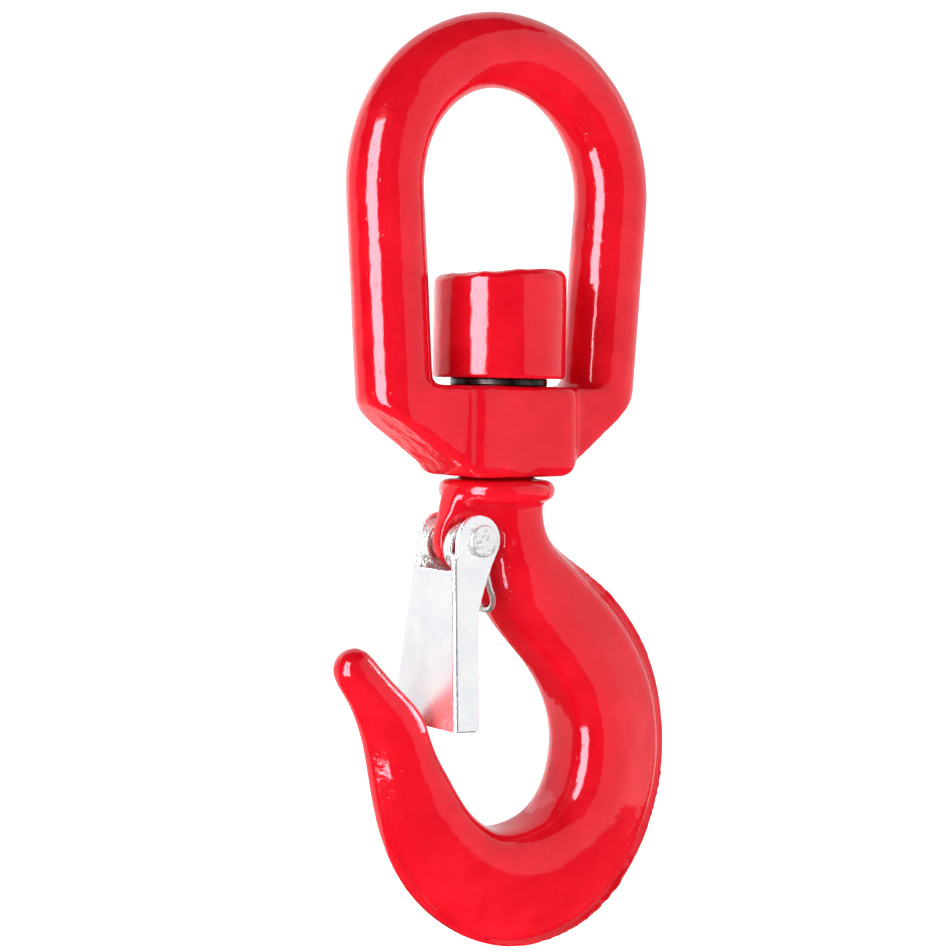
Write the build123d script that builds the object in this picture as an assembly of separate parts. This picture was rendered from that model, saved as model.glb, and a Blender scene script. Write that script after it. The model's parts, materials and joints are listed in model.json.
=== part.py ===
from build123d import *
from math import acos, atan2, cos, degrees, pi, radians, sin, sqrt, tan
import os

# Swivel hook for rigging: an oval bail, and under it a hook that turns on a shank through the bail.
# Millimetres, +Z up along the swivel axis. The origin is the point inside the bail's crown that the
# load hangs from. Bail and hook lie in the XZ plane, with the hook's point on the -X side.

# ---- bail: round bar bent into an arch, forged into a bored boss at the foot ----------------------
bar_d = 19.6            # diameter of the bar
crown_r = 35.9          # centreline radius of the arch
leg_lean = 4.2          # degrees that each leg leans inwards, going down
floor_z = -76.5         # floor of the window, where the thrust washer lies
base_z = -99.7          # underside of the boss
shoulder_x = 41.3       # outer corner, where the leg turns into the sloping foot
shoulder_z = -81.2      # on the -X side
high_shoulder_z = -78.2     # on the +X side, where the forging is cut back more
leg_past = 6.0          # how far the bar runs on below the shoulder, into the foot
foot_x = 14.2           # half width of the foot at the underside
wing_half_y = 9.6       # half thickness of the web where it meets the legs
boss_half_x = 18.6
boss_half_y = 13.6
boss_corner_r = 6.5     # round of its upright corners
boss_edge_r = 3.2       # round of its underside
boss_top_r = 1.5        # round of the window's floor

# ---- swivel: shank, nut, washer and locking pin ---------------------------------------------------
shank_d = 18.0
bore_d = 18.6           # bore of the bail
collar_d = 30.4
collar_top_z = -100.4
collar_h = 5.6
collar_edge_r = 2.6
neck_r = 10.6           # radius of the neck under the collar
neck_x = 1.8            # the neck's centre, off the swivel axis
nut_d = 34.2
nut_h = 28.4
nut_top_r = 2.6
nut_low_r = 0.8
washer_d = 25.0
washer_t = 1.9
washer_bore_d = 18.4
washer_edge_r = 0.4
lock_pin_d = 4.0        # pin driven down the joint between the nut and the shank
lock_pin_l = 16.0

# ---- latch ----------------------------------------------------------------------------------------
pin_x = -11.0
pin_z = -115.6
pin_d = 5.0
pin_clear = 0.15        # radial clearance of the pin in the lug
head_d = 8.2
head_t = 1.3
head_edge_r = 0.5
formed_d = 7.6          # the end formed over by the hammer
formed_t = 1.6
formed_edge_r = 1.0
lug_half = 2.4          # half thickness of the lug that carries the latch
lug_nose_x = -18.9      # foremost point of the lug
lug_front_r = 2.9       # the lug's front edge is this round, seen from above
lug_low_z = -118.0      # the lug's flanks end here, and its plain web runs on into the throat
pocket_r = 7.1          # round recess beside the lug, for the coils
groove_half = 8.3       # half width of the recess under it, for the spring's loop
sheet_t = 1.6           # steel sheet of the latch
ear_half_y = 9.3        # outer face of each ear
ear_r = 6.5
ear_gap = 0.5           # clearance of the ears from the neck
ear_swing_r = 7.3       # recess in the neck that the ears turn in
ear_shift = -0.8        # the ear's round is centred this far from the pin
tilt = 3.1              # degrees that the closed latch leans out towards the point
plate_x = -8.3          # outer face of the plate, from the pin, in the latch's own frame
plate_top = -7.8        # top edge of the plate
plate_low = -47.2       # bottom edge of the plate
flare = 7.1             # degrees that each side flange leans out, going down
flare_z = -4.6          # where the flanges start to lean
flange_w = 7.4          # depth of the side flanges
flange_corner = 1.2     # their cut lower corner
side_sweep = [(4.27, -4.6), (2.6, -8.4), (0.8, -13.0), (-0.4, -17.0)]   # edge from ear to flange
side_even_z = -23.0     # from here down the flange has its full, even depth
side_top_z = -6.2       # the side's front corner, beside the plate's top edge
bend_r = 1.1            # outside round of the bends between the plate and its sides

# ---- latch spring ---------------------------------------------------------------------------------
wire_d = 1.5
coil_r = 5.8            # mean radius of the coils, which hang loose on the pin
coil_x = -1.7           # their axis, from the pin
coil_z = -1.9
coil_in_y = 3.4         # first turn, beside the lug
coil_pitch = 1.7
coil_turns = 2
loop_half_y = 7.0       # the loop that presses on the hook's throat
loop_x = 7.7            # middle of the loop, from the pin
loop_z = -18.4
leg_knee = (-5.4, -9.5)   # bend of each free leg, just under the plate's top edge
leg_low = -31.0         # how far down the plate the free legs reach, from the pin
leg_gap = 0.2           # clearance of their tips from the plate

huge = 400.0            # larger than the whole hook, for cutting tools


def at_xz(x, z):
    """A point given in the plane of the hook."""
    return Vector(x, 0, z)


def flat(points, half):
    """A plate lying in the plane of the hook, given its (x, z) outline and half its thickness."""
    face = make_face(Polyline([at_xz(*p) for p in points], close=True))
    return extrude(face, amount=half, dir=(0, 1, 0), both=True)


def across(radius, half, x=0.0, z=0.0):
    """A cylinder lying across the hook, along Y, given half its length."""
    return Pos(x, 0, z) * Rot(X=90) * Cylinder(radius, 2 * half)


def rims(shape, axis=Axis.Z):
    """The circular edges of a shape, in order along an axis."""
    return shape.edges().filter_by(GeomType.CIRCLE).sort_by(axis)


def nut_lock_pin():
    """Driven in from the top, half in the shank and half in the nut, so that the nut can't turn."""
    nut_top = floor_z + washer_t + nut_h
    return Pos(shank_d / 2, 0, nut_top - lock_pin_l / 2) * Cylinder(lock_pin_d / 2, lock_pin_l)


# ---- bail -----------------------------------------------------------------------------------------
def bail():
    bar_r = bar_d / 2
    lean = radians(leg_lean)
    centre_z = -crown_r + bar_r
    turn_x, turn_z = crown_r * cos(lean), centre_z - crown_r * sin(lean)
    low_z = shoulder_z - leg_past
    low_x = turn_x - (turn_z - low_z) * tan(lean)
    arch = ThreePointArc(at_xz(-turn_x, turn_z), at_xz(0, centre_z + crown_r), at_xz(turn_x, turn_z))
    left = Line(at_xz(-low_x, low_z), at_xz(-turn_x, turn_z))
    right = Line(at_xz(turn_x, turn_z), at_xz(low_x, low_z))
    bar = sweep(Plane(origin=left @ 0, z_dir=left % 0) * Circle(bar_r), path=Wire([left, arch, right]))

    leg_x = turn_x - (turn_z - floor_z) * tan(lean)
    height = floor_z - base_z
    boss = Pos(0, 0, base_z + height / 2) * Box(2 * boss_half_x, 2 * boss_half_y, height)
    boss = fillet(boss.edges().filter_by(Axis.Z), boss_corner_r)
    boss = fillet(boss.faces().sort_by(Axis.Z)[0].edges(), boss_edge_r)
    boss = fillet(boss.faces().sort_by(Axis.Z)[-1].edges(), boss_top_r)
    # On one side of each face the web between boss and leg is flush with both; on the other it is
    # thinner, and the boss's round corner stands out of it.
    front = [(-leg_x, -wing_half_y), (0, -boss_half_y), (boss_half_x / 2, -wing_half_y),
             (leg_x, -wing_half_y)]
    plan = [Vector(x, y, base_z) for x, y in front + [(-x, -y) for x, y in front]]
    web = extrude(make_face(Polyline(plan, close=True)), amount=height, dir=(0, 0, 1))
    body = bar + web + boss
    for side, top_z in ((-1, shoulder_z), (1, high_shoulder_z)):
        shoulder, foot, past = side * shoulder_x, side * foot_x, 2 * side * shoulder_x
        below = 2 * base_z
        body -= flat([(shoulder, top_z), (foot, base_z), (foot, below), (past, below),
                      (past, top_z / 2)], huge)
    return body - Pos(0, 0, base_z) * Cylinder(bore_d / 2, -base_z)


# ---- hook -----------------------------------------------------------------------------------------
# Stations of the hook, from the neck round the bowl to the point. Each is a slice across the bar:
# its inner point and outer point (x, z), its half thickness at the inner and the outer side, and how
# square its inner side is (2 is an ellipse).
stations = [
    ((-9.0, -103.0), (12.3, -103.0), 10.6, 10.6, 2.0),
    ((-8.6, -110.5), (12.7, -110.5), 10.6, 10.6, 2.0),
    ((-6.6, -118.5), (16.0, -117.2), 10.8, 10.6, 2.1),
    ((-4.2, -126.8), (23.0, -122.2), 11.6, 10.0, 2.3),
    ((-1.2, -133.9), (32.4, -128.6), 12.6, 8.5, 2.5),
    ((6.8, -142.9), (41.8, -137.1), 13.2, 7.5, 2.7),
    ((14.9, -151.2), (49.8, -148.3), 13.5, 7.0, 2.8),
    ((20.4, -160.0), (54.0, -159.5), 13.5, 7.0, 2.8),
    ((22.6, -168.9), (55.7, -172.2), 13.5, 7.0, 2.8),
    ((21.4, -178.7), (53.4, -187.9), 13.5, 7.0, 2.8),
    ((16.2, -186.6), (45.2, -204.2), 13.5, 7.0, 2.8),
    ((6.6, -190.3), (28.2, -218.0), 13.2, 7.0, 2.8),
    ((-3.8, -188.9), (3.0, -221.0), 12.8, 7.0, 2.7),
    ((-11.8, -182.0), (-15.4, -212.6), 12.2, 6.5, 2.6),
    ((-17.3, -173.3), (-29.0, -197.5), 11.5, 6.0, 2.5),
    ((-21.6, -165.6), (-36.0, -179.2), 10.5, 5.7, 2.4),
    ((-24.9, -157.7), (-39.4, -164.2), 9.0, 5.6, 2.3),
    ((-31.4, -151.0), (-43.6, -154.9), 7.3, 5.6, 2.2),
]
tip_centre = (-42.4, -146.9)
tip_heading = (-0.60, 0.80)
tip_r = 5.4
tip_shares = (0.0, 0.5, 0.8, 0.97)      # where the round end is sliced, as shares of its radius
# Outline of the lug in the plane of the hook, from the collar round its nose to the throat.
lug_outline = [(6.0, -104.0), (-15.4, -104.0), (-16.6, -108.5), (-18.4, -112.6), (-18.9, -116.6),
               (-17.9, -120.0), (-14.4, -122.9), (-1.6, -134.4), (6.0, -130.0)]
groove_outline = [(-30.0, -116.6), (-5.1, -116.6), (-4.0, -126.0), (-2.9, -131.5), (-30.0, -131.5)]
flank_high_z = -68.0    # top of the flanks' blank, inside the collar and shank


def slice_ring(inner, outer, half_in, half_out, square, points=16):
    """The outline of one slice across the bar: thick and squarish inside, narrow and round outside."""
    start, out = at_xz(*inner), at_xz(*outer) - at_xz(*inner)
    ring = []
    for k in range(points + 1):
        c, s = cos(2 * pi * k / points), sin(2 * pi * k / points)
        power = 2 / square if c > 0 else 1.0
        share = (1 - abs(c) ** power * (1 if c > 0 else -1)) / 2
        half = half_in + (half_out - half_in) * share
        ring.append(start + out * share + Vector(0, half * abs(s) ** power * (1 if s > 0 else -1), 0))
    half_way = points // 2
    over = Vector(0, 1, 0)
    return Wire([Spline(ring[:half_way + 1], tangents=[over, -over]),
                 Spline(ring[half_way:], tangents=[-over, over])])


def hook_blade():
    rings = [slice_ring(*s) for s in stations]
    head = at_xz(*tip_heading)
    side = at_xz(tip_heading[1], -tip_heading[0])
    for share in tip_shares:
        r = tip_r * sqrt(1 - share ** 2)
        centre = at_xz(*tip_centre) + head * (tip_r * share)
        a, b = centre + side * r, centre - side * r
        rings.append(slice_ring((a.X, a.Z), (b.X, b.Z), r, r, 2.0))
    return Solid.make_loft(rings)


def lug_shape():
    """The lug that carries the latch: tapered flanks down to the pin, and a plain web below them."""
    # Seen from above it is a wedge, tangent to the neck at the back and to its own round front.
    front_x = lug_nose_x + lug_front_r
    beside = -(neck_r - lug_front_r) / (neck_x - front_x)
    along = sqrt(1 - beside ** 2)
    flank = [(neck_x, neck_r * along), (neck_x + neck_r * beside, neck_r * along),
             (front_x + lug_front_r * beside, lug_front_r * along)]
    outline = [Vector(x, y, lug_low_z) for x, y in flank + [(x, -y) for x, y in reversed(flank)]]
    flank_h = flank_high_z - lug_low_z
    wedge = extrude(make_face(Polyline(outline, close=True)), amount=flank_h, dir=(0, 0, 1))
    front = Pos(front_x, 0, lug_low_z + flank_h / 2) * Cylinder(lug_front_r, flank_h)
    return ((wedge + front) & flat(lug_outline, huge)) + flat(lug_outline, lug_half)


def hook():
    """Made as one half, on the +Y side, and mirrored."""
    collar = Pos(0, 0, collar_top_z - collar_h / 2) * Cylinder(collar_d / 2, collar_h)
    collar = fillet(rims(collar), collar_edge_r)
    nut_top = floor_z + washer_t + nut_h
    shank_h = nut_top - collar_top_z + collar_h / 2
    shank = Pos(0, 0, nut_top - shank_h / 2) * Cylinder(shank_d / 2, shank_h)
    body = hook_blade() + lug_shape()
    ear_in_y = ear_half_y - sheet_t - ear_gap
    body -= Pos(0, lug_half + huge / 2, 0) * across(pocket_r, huge / 2, pin_x + coil_x, pin_z + coil_z)
    body -= Pos(0, (lug_half + groove_half) / 2, 0) * flat(groove_outline, (groove_half - lug_half) / 2)
    body -= Pos(0, ear_in_y + huge / 2, 0) * across(ear_swing_r, huge / 2, pin_x, pin_z)
    body += collar + shank
    body -= across(pin_d / 2 + pin_clear, huge, pin_x, pin_z)
    body -= nut_lock_pin()
    half = body & Pos(0, huge / 2, 0) * Box(2 * huge, huge, 2 * huge)
    return half + mirror(half, Plane.XZ)


# ---- swivel ---------------------------------------------------------------------------------------
def swivel_nut():
    low_z = floor_z + washer_t
    nut = Pos(0, 0, low_z + nut_h / 2) * Cylinder(nut_d / 2, nut_h)
    nut = fillet(rims(nut)[-1], nut_top_r)
    nut = fillet(rims(nut)[0], nut_low_r)
    return nut - Pos(0, 0, low_z) * Cylinder(shank_d / 2, 3 * nut_h) - nut_lock_pin()


def thrust_washer():
    ring = Cylinder(washer_d / 2, washer_t) - Cylinder(washer_bore_d / 2, washer_t)
    ring = fillet(rims(ring, SortBy.RADIUS)[-2:], washer_edge_r)
    return Pos(0, 0, floor_z + washer_t / 2) * ring


# ---- latch ----------------------------------------------------------------------------------------
def on_pin(shape):
    """Moves a shape from the latch's own frame, with the pin at its origin, to the closed latch."""
    return Pos(pin_x, 0, pin_z) * Rot(Y=tilt) * shape


def channel_blank(inset, x_low, x_high, over=0.0):
    """A solid block whose sides lean out by the flare; the channel is one such block less a smaller one."""
    slope = tan(radians(flare))
    top, low = flare_z + over, plate_low - over
    top_y, low_y = (ear_half_y + (flare_z - z) * slope - inset for z in (top, low))
    end = Polyline([(0, -top_y, top), (0, top_y, top), (0, low_y, low), (0, -low_y, low)], close=True)
    return Pos(x_low, 0, 0) * extrude(make_face(end), amount=x_high - x_low, dir=(1, 0, 0))


def safety_latch():
    ear_front, ear_back = ear_shift - ear_r, ear_shift + ear_r
    edge_x = plate_x + flange_w
    over = 1.0
    outer = channel_blank(0, plate_x, ear_back)
    long_edges = outer.edges().filter_by(Axis.Z, tolerance=2 * flare)
    outer = fillet([e for e in long_edges if e.center().X < plate_x + over], bend_r)
    channel = outer - channel_blank(sheet_t, plate_x + sheet_t, 2 * ear_back, over)
    side = [(ear_front, flare_z)] + side_sweep + [
        (edge_x, side_even_z), (edge_x, plate_low + flange_corner), (edge_x - flange_corner, plate_low),
        (plate_x - over, plate_low), (plate_x - over, side_top_z)]
    channel = channel & flat(side, huge)
    # The plate stops short of the ears, between the two sides.
    notch_half = ear_half_y + (flare_z - plate_top) * tan(radians(flare)) - sheet_t
    notch_h = 2 * (flare_z - plate_top)
    channel -= Pos(plate_x, 0, plate_top + notch_h / 2) * Box(3 * bend_r, 2 * notch_half, notch_h)
    ear = across(ear_r, sheet_t / 2, ear_shift) + flat(
        [(ear_front, 0), (ear_back, 0), side_sweep[0], (ear_front, flare_z)], sheet_t / 2)
    ear_y = ear_half_y - sheet_t / 2
    latch = channel + Pos(0, ear_y, 0) * ear + Pos(0, -ear_y, 0) * ear
    return on_pin(latch - across(pin_d / 2, huge))


def latch_rivet():
    head = Pos(0, -ear_half_y - head_t / 2, 0) * across(head_d / 2, head_t / 2)
    head = fillet(rims(head, Axis.Y)[0], head_edge_r)
    formed = Pos(0, ear_half_y + formed_t / 2, 0) * across(formed_d / 2, formed_t / 2)
    formed = fillet(rims(formed, Axis.Y)[-1], formed_edge_r)
    return on_pin(across(pin_d / 2, ear_half_y + head_t / 2) + head + formed)


# ---- latch spring ---------------------------------------------------------------------------------
def wire(path):
    """Spring wire along a path, with a ball at each end so that the next length can leave at an angle."""
    section = Plane(origin=path @ 0, z_dir=path % 0) * Circle(wire_d / 2)
    ball = Sphere(wire_d / 2)
    return sweep(section, path=path) + Pos(*(path @ 0)) * ball + Pos(*(path @ 1)) * ball


def spring_half(loop_end):
    """The coil on the +Y side, its arm down to the loop, and its free leg behind the latch's plate."""
    axis = at_xz(coil_x, coil_z)
    outer_y = coil_in_y + coil_pitch * coil_turns

    def on_coil(angle, y):
        return axis + Vector(coil_r * cos(angle), y, coil_r * sin(angle))

    def leaves_at(point, side):
        """Angle at which a straight length, tangent to the coil, leaves it for a point."""
        to_point = at_xz(point.X, point.Z) - axis
        return atan2(to_point.Z, to_point.X) + side * acos(coil_r / to_point.length)

    start = leaves_at(at_xz(loop_x, loop_z), 1)
    helix = Helix(pitch=coil_pitch, height=coil_pitch * coil_turns, radius=coil_r)
    section = Plane(origin=helix @ 0, z_dir=helix % 0) * Circle(wire_d / 2)
    coil = Rot(X=-90) * sweep(section, path=helix, is_frenet=True)
    coil = Pos(coil_x, coil_in_y, coil_z) * Rot(Y=-degrees(start)) * coil

    behind_plate = plate_x + sheet_t + leg_low * tan(radians(tilt)) + wire_d / 2 + leg_gap
    bend = Vector(leg_knee[0], outer_y, leg_knee[1])
    stop = leaves_at(bend, -1) + 2 * pi
    last = [on_coil(angle, outer_y) for angle in (start, (start + stop) / 2, stop)]
    return (coil + wire(Line(on_coil(start, coil_in_y), loop_end)) + wire(ThreePointArc(*last))
            + wire(Line(last[2], bend)) + wire(Line(bend, Vector(behind_plate, outer_y, leg_low))))


def latch_spring():
    """Two coils beside the lug, joined by a loop on the throat; each free leg presses on the plate."""
    loop_mid = at_xz(loop_x, loop_z)
    up_arm = (at_xz(coil_x, coil_z) - loop_mid).normalized()
    ends = [loop_mid + (up_arm + Vector(0, side, 0)) * loop_half_y for side in (1, -1)]
    half = spring_half(ends[0])
    loop = wire(ThreePointArc(ends[0], loop_mid, ends[1]))
    return Pos(pin_x, 0, pin_z) * (half + mirror(half, Plane.XZ) + loop)


parts = {
    "bail": bail,
    "thrust_washer": thrust_washer,
    "hook": hook,
    "swivel_nut": swivel_nut,
    "nut_lock_pin": nut_lock_pin,
    "safety_latch": safety_latch,
    "latch_rivet": latch_rivet,
    "latch_spring": latch_spring,
}
os.makedirs("parts", exist_ok=True)
for name, make in parts.items():
    shape = make()
    export_step(shape, f"parts/{name}.step")
    print(name, len(shape.solids()), round(shape.volume), shape.is_valid)
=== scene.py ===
"""Looks of a forged swivel hook: red enamel on forged steel, a zinc-plated latch and a dark washer."""
import json
from math import cos, pi, radians, sin

import bmesh
import bpy
from mathutils import Matrix, Vector, noise


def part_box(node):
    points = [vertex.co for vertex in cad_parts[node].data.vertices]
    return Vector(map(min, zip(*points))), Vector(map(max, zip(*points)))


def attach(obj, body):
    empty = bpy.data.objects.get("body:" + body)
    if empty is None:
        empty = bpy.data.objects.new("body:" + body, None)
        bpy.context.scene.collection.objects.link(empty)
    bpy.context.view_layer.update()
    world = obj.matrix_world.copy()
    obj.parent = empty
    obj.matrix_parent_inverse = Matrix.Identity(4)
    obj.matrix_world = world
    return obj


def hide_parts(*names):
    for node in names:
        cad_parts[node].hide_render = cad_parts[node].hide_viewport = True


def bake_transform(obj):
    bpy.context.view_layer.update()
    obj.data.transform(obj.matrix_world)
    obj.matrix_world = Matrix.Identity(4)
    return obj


MM = 0.001

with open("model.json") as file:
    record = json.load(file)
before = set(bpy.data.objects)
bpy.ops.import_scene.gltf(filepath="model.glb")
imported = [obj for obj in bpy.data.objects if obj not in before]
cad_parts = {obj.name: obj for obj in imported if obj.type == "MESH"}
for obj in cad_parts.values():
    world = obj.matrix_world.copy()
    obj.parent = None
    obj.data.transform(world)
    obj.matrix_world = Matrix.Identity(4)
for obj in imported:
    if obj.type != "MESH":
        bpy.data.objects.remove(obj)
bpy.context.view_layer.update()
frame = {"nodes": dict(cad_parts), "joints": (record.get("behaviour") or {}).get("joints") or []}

nut_low, nut_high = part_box("swivel_nut")
rivet_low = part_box("latch_rivet")[0]
joint_at = {j["name"]: Vector(j["pos_m"]) for j in frame["joints"]}


# ---- materials --------------------------------------------------------------------------------------
def linear(hex_code):
    """A linear colour from an sRGB hex code."""
    parts = [int(hex_code[k:k + 2], 16) / 255 for k in (1, 3, 5)]
    return [c / 12.92 if c <= 0.04045 else ((c + 0.055) / 1.055) ** 2.4 for c in parts] + [1.0]


def per_mm(size):
    """Scale of a pattern on Object coordinates, in metres, whose features are this many millimetres."""
    return 1 / (size * MM)


def add(tree, kind, settings=None, inputs=None):
    """Adds a shader node. An input is a value, or the output socket of another node."""
    node = tree.nodes.new("ShaderNode" + kind)
    for name, value in (settings or {}).items():
        setattr(node, name, value)
    for name, value in (inputs or {}).items():
        if isinstance(value, bpy.types.NodeSocket):
            tree.links.new(value, node.inputs[name])
        else:
            node.inputs[name].default_value = value
    return node


def new_material(name, **shader_values):
    """A material with a Principled shader, and the Object coordinates its patterns are drawn on."""
    material = bpy.data.materials.new(name)
    material.use_nodes = True
    tree = material.node_tree
    tree.nodes.clear()
    shader = add(tree, "BsdfPrincipled", inputs=shader_values)
    add(tree, "OutputMaterial", inputs={"Surface": shader.outputs[0]})
    return material, tree, shader, add(tree, "TexCoord").outputs["Object"]


def noise_value(tree, where, size, detail=2.0, roughness=0.5, stretch=(1, 1, 1)):
    """Noise from 0 to 1 with features of this many millimetres, drawn out along the stretched axes."""
    placed = add(tree, "Mapping", inputs={"Vector": where, "Scale": [1 / s for s in stretch]})
    texture = add(tree, "TexNoise", inputs={
        "Vector": placed.outputs[0], "Scale": per_mm(size), "Detail": detail, "Roughness": roughness})
    return texture.outputs[0]


def ramp(tree, value, low, high, out_low=0.0, out_high=1.0):
    """Maps a stretch of a value smoothly onto another, and holds it outside."""
    return add(tree, "MapRange", {"interpolation_type": "SMOOTHSTEP"}, {
        "Value": value, "From Min": low, "From Max": high, "To Min": out_low, "To Max": out_high}).outputs[0]


def mix_colour(tree, share, first, second):
    node = add(tree, "Mix", {"data_type": "RGBA"}, {0: share, 6: first, 7: second})
    return node.outputs[2]


def bump(tree, height, depth_mm, below=None):
    """Relief of this depth in millimetres, drawn over an earlier one."""
    inputs = {"Height": height, "Distance": depth_mm * MM, "Strength": 1.0}
    if below is not None:
        inputs["Normal"] = below
    return add(tree, "Bump", inputs=inputs).outputs[0]


def stoved_red_enamel():
    """Stoved enamel sprayed on forged steel: deep even red under a wet gloss, a little wavy where the
    forging shows through, with an orange peel finer than the waves."""
    material, tree, shader, where = new_material("stoved red enamel", Roughness=0.1, IOR=1.5)
    shader.inputs["Specular Tint"].default_value = linear("#FFE0F2")
    shade = noise_value(tree, where, 12.0, 4.0, 0.6)
    colour = mix_colour(tree, ramp(tree, shade, 0.35, 0.7), linear("#DC0A1E"), linear("#E81426"))
    tree.links.new(colour, shader.inputs["Base Color"])
    forging = bump(tree, noise_value(tree, where, 7.0, 2.0), 0.22)
    peel = bump(tree, noise_value(tree, where, 1.7, 2.0), 0.035, forging)
    specks = ramp(tree, noise_value(tree, where, 0.9, 0.0), 0.76, 0.84)
    tree.links.new(bump(tree, specks, 0.03, peel), shader.inputs["Normal"])
    return material


def zinc_plated_sheet():
    """Cold-rolled steel sheet, pressed and bright zinc-plated: near white with a cold cast, a faint
    rolling grain along the strip and soft clouds in the plating."""
    material, tree, shader, where = new_material("bright zinc-plated sheet", Metallic=0.8)
    clouds = noise_value(tree, where, 7.0, 3.0)
    grain = noise_value(tree, where, 0.35, 2.0, 0.6, stretch=(1, 1, 12))
    tree.links.new(mix_colour(tree, ramp(tree, clouds, 0.35, 0.7), linear("#F7F8FD"), linear("#FFFFFF")),
                   shader.inputs["Base Color"])
    tree.links.new(ramp(tree, grain, 0.3, 0.7, 0.2, 0.28), shader.inputs["Roughness"])
    rolled = bump(tree, grain, 0.0006)
    tree.links.new(bump(tree, clouds, 0.012, rolled), shader.inputs["Normal"])
    return material


def zinc_plated_rivet():
    """Headed steel rivet, plated and then hammered: the flat of its head is scuffed down to the
    darker steel."""
    material, tree, shader, where = new_material("zinc-plated rivet steel", Metallic=0.7)
    scratch_a = noise_value(tree, where, 0.5, 2.0, 0.6, stretch=(6, 1, 1))
    turned = add(tree, "VectorRotate", {"rotation_type": "Y_AXIS"},
                 {"Vector": where, "Center": joint_at["latch_hinge"], "Angle": radians(62)})
    scratch_b = noise_value(tree, turned.outputs[0], 0.45, 2.0, 0.6, stretch=(7, 1, 1))
    scratches = add(tree, "Math", {"operation": "MULTIPLY"}, {0: scratch_a, 1: scratch_b}).outputs[0]
    height = add(tree, "SeparateXYZ", inputs={"Vector": where}).outputs["Y"]
    on_face = ramp(tree, height, rivet_low.y + 0.25 * MM, rivet_low.y + 0.05 * MM)
    scuffed = ramp(tree, scratches, 0.27, 0.36)
    scuffed = add(tree, "Math", {"operation": "MULTIPLY"}, {0: scuffed, 1: on_face}).outputs[0]
    tree.links.new(mix_colour(tree, scuffed, linear("#F2F2F4"), linear("#C0BEC0")),
                   shader.inputs["Base Color"])
    tree.links.new(ramp(tree, scuffed, 0, 1, 0.22, 0.5), shader.inputs["Roughness"])
    tree.links.new(bump(tree, scratches, 0.05), shader.inputs["Normal"])
    return material


def plated_spring_wire():
    """Drawn and plated spring wire: bright, with draw marks finer than the wire."""
    material, tree, shader, where = new_material("plated spring wire", Metallic=0.75)
    marks = noise_value(tree, where, 0.4, 2.0)
    tree.links.new(mix_colour(tree, ramp(tree, marks, 0.3, 0.7), linear("#DADBDD"), linear("#F0EFEC")),
                   shader.inputs["Base Color"])
    tree.links.new(ramp(tree, marks, 0.3, 0.7, 0.2, 0.32), shader.inputs["Roughness"])
    tree.links.new(bump(tree, marks, 0.002), shader.inputs["Normal"])
    return material


def dark_oiled_steel():
    """Turned steel washer, dark with oil: near black, with fine turning rings round the shank."""
    material, tree, shader, where = new_material("dark oiled steel", Metallic=1.0)
    flat_place = add(tree, "VectorMath", {"operation": "MULTIPLY"}, {0: where, 1: (1, 1, 0)})
    radius = add(tree, "VectorMath", {"operation": "LENGTH"}, {0: flat_place.outputs[0]}).outputs["Value"]
    rings = add(tree, "TexNoise", {"noise_dimensions": "1D"}, {"W": radius, "Scale": per_mm(0.35)})
    stain = noise_value(tree, where, 3.0, 3.0)
    tree.links.new(mix_colour(tree, ramp(tree, stain, 0.35, 0.65), linear("#231E20"), linear("#4A4446")),
                   shader.inputs["Base Color"])
    tree.links.new(ramp(tree, stain, 0.3, 0.7, 0.25, 0.42), shader.inputs["Roughness"])
    tree.links.new(bump(tree, rings.outputs[0], 0.006), shader.inputs["Normal"])
    return material


enamel = stoved_red_enamel()
sheet_zinc = zinc_plated_sheet()
rivet_zinc = zinc_plated_rivet()
spring_wire = plated_spring_wire()
washer_steel = dark_oiled_steel()


# ---- pieces -----------------------------------------------------------------------------------------
def paint(obj, material):
    obj.data.materials.clear()
    obj.data.materials.append(material)


def worked_copy(node, name, voxel_mm, rounds):
    """A merged copy of a CAD node, remeshed evenly and smoothed, so that its edges and joins are soft."""
    mesh = frame["nodes"][node].data.copy()
    blank = bpy.data.objects.new(name, mesh)
    bpy.context.scene.collection.objects.link(blank)
    bm = bmesh.new()
    bm.from_mesh(mesh)
    bmesh.ops.remove_doubles(bm, verts=bm.verts, dist=1e-6)
    bm.to_mesh(mesh)
    bm.free()
    remesh = blank.modifiers.new("even", "REMESH")
    remesh.mode = "VOXEL"
    remesh.voxel_size = voxel_mm * MM
    done = bpy.data.meshes.new_from_object(blank.evaluated_get(bpy.context.evaluated_depsgraph_get()))
    blank.modifiers.clear()
    blank.data = done
    done.name = name
    bm = bmesh.new()
    bm.from_mesh(done)
    smooth(bm, bm.verts, rounds)
    bm.to_mesh(done)
    bm.free()
    done.shade_smooth()
    return blank


def smooth(bm, verts, rounds):
    verts = list(verts)
    for _ in range(rounds):
        bmesh.ops.smooth_vert(bm, verts=verts, factor=0.5, use_axis_x=True, use_axis_y=True, use_axis_z=True)


def shape(obj, change):
    """Edits a piece's mesh with a function of its bmesh, and keeps the piece inside its first box."""
    bm = bmesh.new()
    bm.from_mesh(obj.data)
    low = Vector(min(v.co[k] for v in bm.verts) for k in range(3))
    high = Vector(max(v.co[k] for v in bm.verts) for k in range(3))
    change(bm)
    for v in bm.verts:
        v.co = Vector(min(max(v.co[k], low[k]), high[k]) for k in range(3))
    bm.to_mesh(obj.data)
    bm.free()


def hammered(depth_mm, size_mm, chosen=lambda co: 1.0):
    """Shallow forging waves of this depth and size, scaled by a function of the place."""
    def change(bm):
        bm.normal_update()
        for v in bm.verts:
            wave = noise.noise(v.co * per_mm(size_mm))
            v.co += v.normal * (wave * depth_mm * MM * chosen(v.co))
    return change


def finish_piece(obj, body, slot, material, *nodes):
    paint(obj, material)
    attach(obj, body)
    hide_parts(*nodes)


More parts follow.
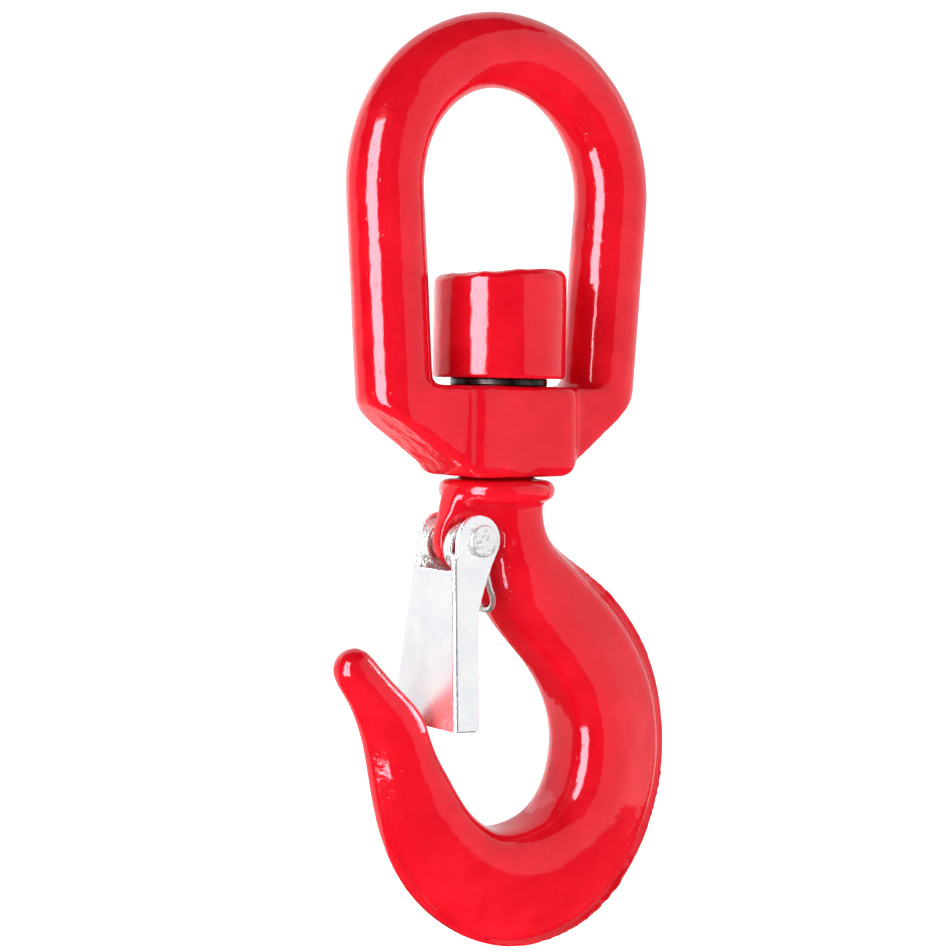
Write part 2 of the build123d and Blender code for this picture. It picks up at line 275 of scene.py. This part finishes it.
# The bail's foot, as in the part: the window's floor, the boss between the legs and its upright corners.
floor_z = -76.5 * MM
leg_x = 33.0 * MM
leg_half_y, boss_half_y = 9.6 * MM, 13.6 * MM
boss_side_x, boss_corner_r = 12.1 * MM, 6.5 * MM
flush_x = 10 * MM           # the filled web starts this far from the middle of the boss


def flush_web(bm):
    """Fills the small step between the web and the boss's near corner, so that they run out flush. It is
    on the -X side of the front, and on the +X side of the back."""
    bm.normal_update()
    rise = boss_half_y - leg_half_y
    for v in bm.verts:
        turned = -1 if v.co.y > 0 else 1
        x, facing = -turned * v.co.x, -turned * v.normal.y
        on_foot = v.co.z <= floor_z + 1 * MM and abs(v.co.y) >= leg_half_y / 2
        if not (on_foot and flush_x < x < leg_x and facing > 0):
            continue
        corner = boss_corner_r ** 2 - max(x - boss_side_x, 0) ** 2
        boss_y = boss_half_y - boss_corner_r + corner ** 0.5 if corner > 0 else 0
        now = max(boss_y, boss_half_y - rise * x / leg_x)
        flush = leg_half_y + rise * (leg_x - x) / (leg_x - flush_x)
        v.co.y -= turned * facing * max(flush - now, 0)


bail = worked_copy("bail", "forged_bail", 0.6, 18)
shape(bail, flush_web)
shape(bail, hammered(0.07, 9.0))
finish_piece(bail, "bail", "red_enamel", enamel, "bail")

nut_r = (nut_high.x - nut_low.x) / 2
peened_depth = 6 * MM       # how far below its top the nut is still pushed down


def peened_top(bm):
    """The nut and shank are left rough from the hammer on top, and worn down towards -X."""
    for v in bm.verts:
        top = max(0.0, (v.co.z - (nut_high.z - peened_depth)) / peened_depth)
        worn = min(max(0.45 - v.co.x / nut_r * 0.7 + v.co.y / nut_r * 0.3, 0.0), 1.0)
        rough = 0.5 + 0.5 * noise.noise(v.co * per_mm(3.5))
        ridge = abs(noise.noise(v.co * per_mm(7.0) + Vector((3, 1, 0))))
        v.co.z -= top * MM * (1.6 * worn + 0.5 * rough + 0.7 * ridge)


hook = worked_copy("hook", "forged_hook", 0.6, 14)
shape(hook, peened_top)
neck_top_z = -101 * MM
shape(hook, hammered(0.07, 9.0, lambda co: 1.0 if co.z < neck_top_z else 0.2))
finish_piece(hook, "hook", "red_enamel", enamel, "hook")

nut = worked_copy("swivel_nut", "turned_nut", 0.5, 3)
shape(nut, peened_top)
shape(nut, hammered(0.03, 6.0))
finish_piece(nut, "hook", "red_enamel", enamel, "swivel_nut")
paint(frame["nodes"]["nut_lock_pin"], enamel)

latch = worked_copy("safety_latch", "pressed_latch", 0.32, 2)
finish_piece(latch, "latch", "zinc_sheet", sheet_zinc, "safety_latch")

paint(frame["nodes"]["latch_rivet"], rivet_zinc)
paint(frame["nodes"]["thrust_washer"], washer_steel)


def bending_spring():
    """A merged, smooth-shaded copy of the spring in plated wire, which takes the part's place."""
    mesh = frame["nodes"]["latch_spring"].data.copy()
    spring = bpy.data.objects.new("torsion_spring", mesh)
    bpy.context.scene.collection.objects.link(spring)
    bm = bmesh.new()
    bm.from_mesh(mesh)
    bmesh.ops.remove_doubles(bm, verts=bm.verts, dist=1e-6)
    bm.to_mesh(mesh)
    bm.free()
    mesh.shade_smooth()
    paint(spring, spring_wire)
    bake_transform(spring)
    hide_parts("latch_spring")


bending_spring()

# ---- camera -----------------------------------------------------------------------------------------
bearing = radians(-36)
back = Vector((sin(bearing), -cos(bearing), 0))
right = Vector((cos(bearing), sin(bearing), 0))
up = Vector((0, 0, 1))
view_centre = Vector((0, 0, -77.6 * MM))
view_distance = 541 * MM
view_roll = radians(1.0)

camera_data = bpy.data.cameras.new("camera")
camera_data.sensor_width = 36
camera_data.lens = 79.58
camera_data.shift_x = -0.0248
camera_data.shift_y = -0.0895
camera_data.clip_start = 0.02
camera = bpy.data.objects.new("camera", camera_data)
bpy.context.scene.collection.objects.link(camera)
rolled_right = right * cos(view_roll) + up * sin(view_roll)
rolled_up = up * cos(view_roll) - right * sin(view_roll)
turn = Matrix((rolled_right, rolled_up, back)).transposed().to_4x4()
camera.matrix_world = Matrix.Translation(view_centre + back * view_distance) @ turn
bpy.context.scene.camera = camera


# ---- stage and light --------------------------------------------------------------------------------
def around(degrees_right, distance, height):
    """A place round the hook: an angle to the camera's right, a distance, and a height over its middle."""
    angle = radians(degrees_right)
    return view_centre + (back * cos(angle) + right * sin(angle)) * distance + up * height


def soft_box(name, degrees_right, distance, height, size, power, mirrored=True, lights=True):
    """A soft box turned to the hook's middle. One that isn't mirrored shows in no reflection, and one
    that doesn't light shows in nothing else."""
    data = bpy.data.lights.new(name, "AREA")
    data.shape = "RECTANGLE"
    data.size, data.size_y = size
    data.energy = power
    box = bpy.data.objects.new(name, data)
    bpy.context.scene.collection.objects.link(box)
    box.location = around(degrees_right, distance, height)
    box.rotation_euler = (box.location - view_centre).to_track_quat("Z", "Y").to_euler()
    box.visible_glossy = mirrored
    box.visible_diffuse = lights
    box.visible_camera = False


def pale_stage():
    """One pale sheet: a floor that curves up into a back wall."""
    bm = bmesh.new()
    half, drop, reach, front, wall_height, curve = 3.0, -0.42, 1.6, 0.8, 3.5, 0.8
    ends = [(-half, front), (-half, -reach), (half, -reach), (half, front)]
    floor = bm.faces.new([bm.verts.new(view_centre + right * x + back * y + up * drop) for x, y in ends])
    far_edge = [e for e in floor.edges if all((v.co - view_centre).dot(back) < 0 for v in e.verts)]
    wall = bmesh.ops.extrude_edge_only(bm, edges=far_edge)["geom"]
    top = [g for g in wall if isinstance(g, bmesh.types.BMVert)]
    bmesh.ops.translate(bm, verts=top, vec=up * wall_height)
    corner = [e for e in bm.edges if len(e.link_faces) == 2]
    bmesh.ops.bevel(bm, geom=corner, offset=curve, segments=16, affect="EDGES", profile=0.5, material=-1)
    mesh = bpy.data.meshes.new("pale_stage")
    bm.to_mesh(mesh)
    bm.free()
    mesh.shade_smooth()
    stage = bpy.data.objects.new("pale_stage", mesh)
    bpy.context.scene.collection.objects.link(stage)
    material, _, shader, _ = new_material("pale matt paper", Roughness=0.9)
    shader.inputs["Base Color"].default_value = linear("#F4F4F4")
    shader.inputs["Specular IOR Level"].default_value = 0.0
    shader.inputs["Emission Color"].default_value = linear("#FFFFFF")
    shader.inputs["Emission Strength"].default_value = 0.9
    paint(stage, material)
    stage.visible_glossy = False


pale_stage()
soft_box("strip", -37, 0.9, 0.05, (0.48, 1.2), 32, lights=False)
soft_box("left_wall", -125, 1.1, 0.0, (1.6, 1.6), 6.6)
soft_box("side_wall", 84, 1.1, 0.25, (2.0, 1.7), 8.9)
soft_box("back_glow", 180, 1.0, 0.4, (3.2, 2.2), 17, lights=False)
soft_box("key", -40, 1.0, 0.35, (0.5, 0.9), 7.5, mirrored=False)
soft_box("front_fill", 20, 1.2, 0.4, (1.4, 1.2), 5, mirrored=False)
soft_box("under_fill", 0, 0.8, -0.7, (1.0, 0.6), 1.5, mirrored=False)

world = bpy.data.worlds.new("studio")
bpy.context.scene.world = world
world.use_nodes = True
world.node_tree.nodes["Background"].inputs["Color"].default_value = linear("#FFFFFF")
world.node_tree.nodes["Background"].inputs["Strength"].default_value = 0.04

bpy.context.scene.view_settings.view_transform = "Standard"
